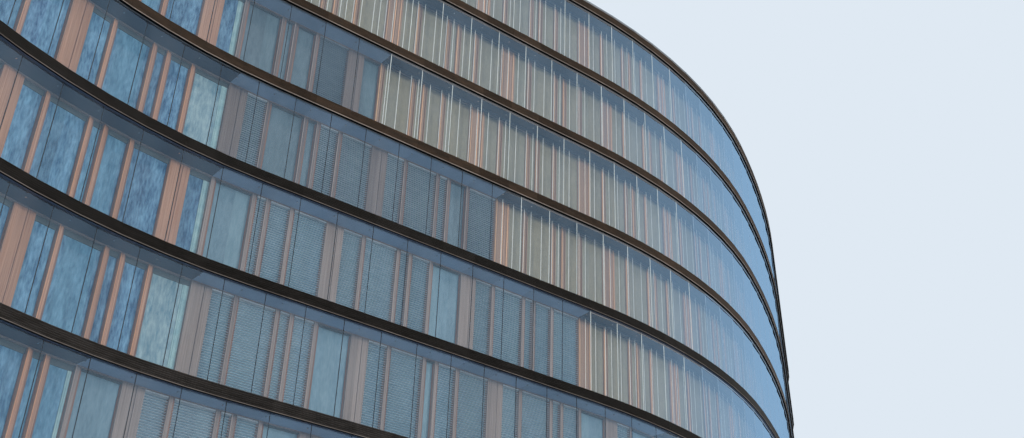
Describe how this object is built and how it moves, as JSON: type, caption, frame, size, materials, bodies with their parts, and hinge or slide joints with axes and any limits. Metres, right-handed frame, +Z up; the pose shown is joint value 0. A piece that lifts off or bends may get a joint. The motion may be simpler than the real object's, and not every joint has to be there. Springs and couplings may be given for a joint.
{
  "type": "half-scale model of a curved glass office building",
  "caption": "Half-scale curved office building: wave-shaped floor plates, dark louvred sun ledges, a butt-jointed glass skin and an inner timber wall behind a narrow walkway.",
  "frame": {"origin": "on the ground, under the middle of the building's box", "axes": "+X along the straight stretch of the front and the longest extent, -Y out of the front, +Z up"},
  "size_m": [39.1905, 19.5704, 17.805],
  "materials": {
    "concrete": "cast concrete, smooth",
    "skin_glass": "clear float glass, butt jointed",
    "ledge_metal": "dark bronze, satin",
    "timber": "oiled softwood",
    "portal_metal": "anodised, satin",
    "roof_edge": "folded sheet, satin"
  },
  "bodies": {
    "root": {"ground_slab": "concrete", "glass_skin_ground": "skin_glass", "timber_piers_ground": "timber", "floor_slab_level_1": "concrete", "sun_ledge_level_1": "ledge_metal", "glass_skin_level_1": "skin_glass", "timber_piers_level_1": "timber", "floor_slab_level_2": "concrete", "sun_ledge_level_2": "ledge_metal", "glass_skin_level_2": "skin_glass", "timber_piers_level_2": "timber", "floor_slab_level_3": "concrete", "sun_ledge_level_3": "ledge_metal", "glass_skin_level_3": "skin_glass", "timber_piers_level_3": "timber", "floor_slab_level_4": "concrete", "sun_ledge_level_4": "ledge_metal", "glass_skin_level_4": "skin_glass", "timber_piers_level_4": "timber", "floor_slab_level_5": "concrete", "sun_ledge_level_5": "ledge_metal", "glass_skin_level_5": "skin_glass", "timber_piers_level_5": "timber", "floor_slab_level_6": "concrete", "sun_ledge_level_6": "ledge_metal", "glass_skin_level_6": "skin_glass", "timber_piers_level_6": "timber", "floor_slab_level_7": "concrete", "sun_ledge_level_7": "ledge_metal", "glass_skin_level_7": "skin_glass", "timber_piers_level_7": "timber", "floor_slab_level_8": "concrete", "sun_ledge_level_8": "ledge_metal", "glass_skin_level_8": "skin_glass", "timber_piers_level_8": "timber", "floor_slab_roof": "concrete", "sun_ledge_roof": "ledge_metal", "entrance_jambs": "portal_metal", "entrance_head": "portal_metal", "roof_upstand": "roof_edge"}
  },
  "joints": []
}
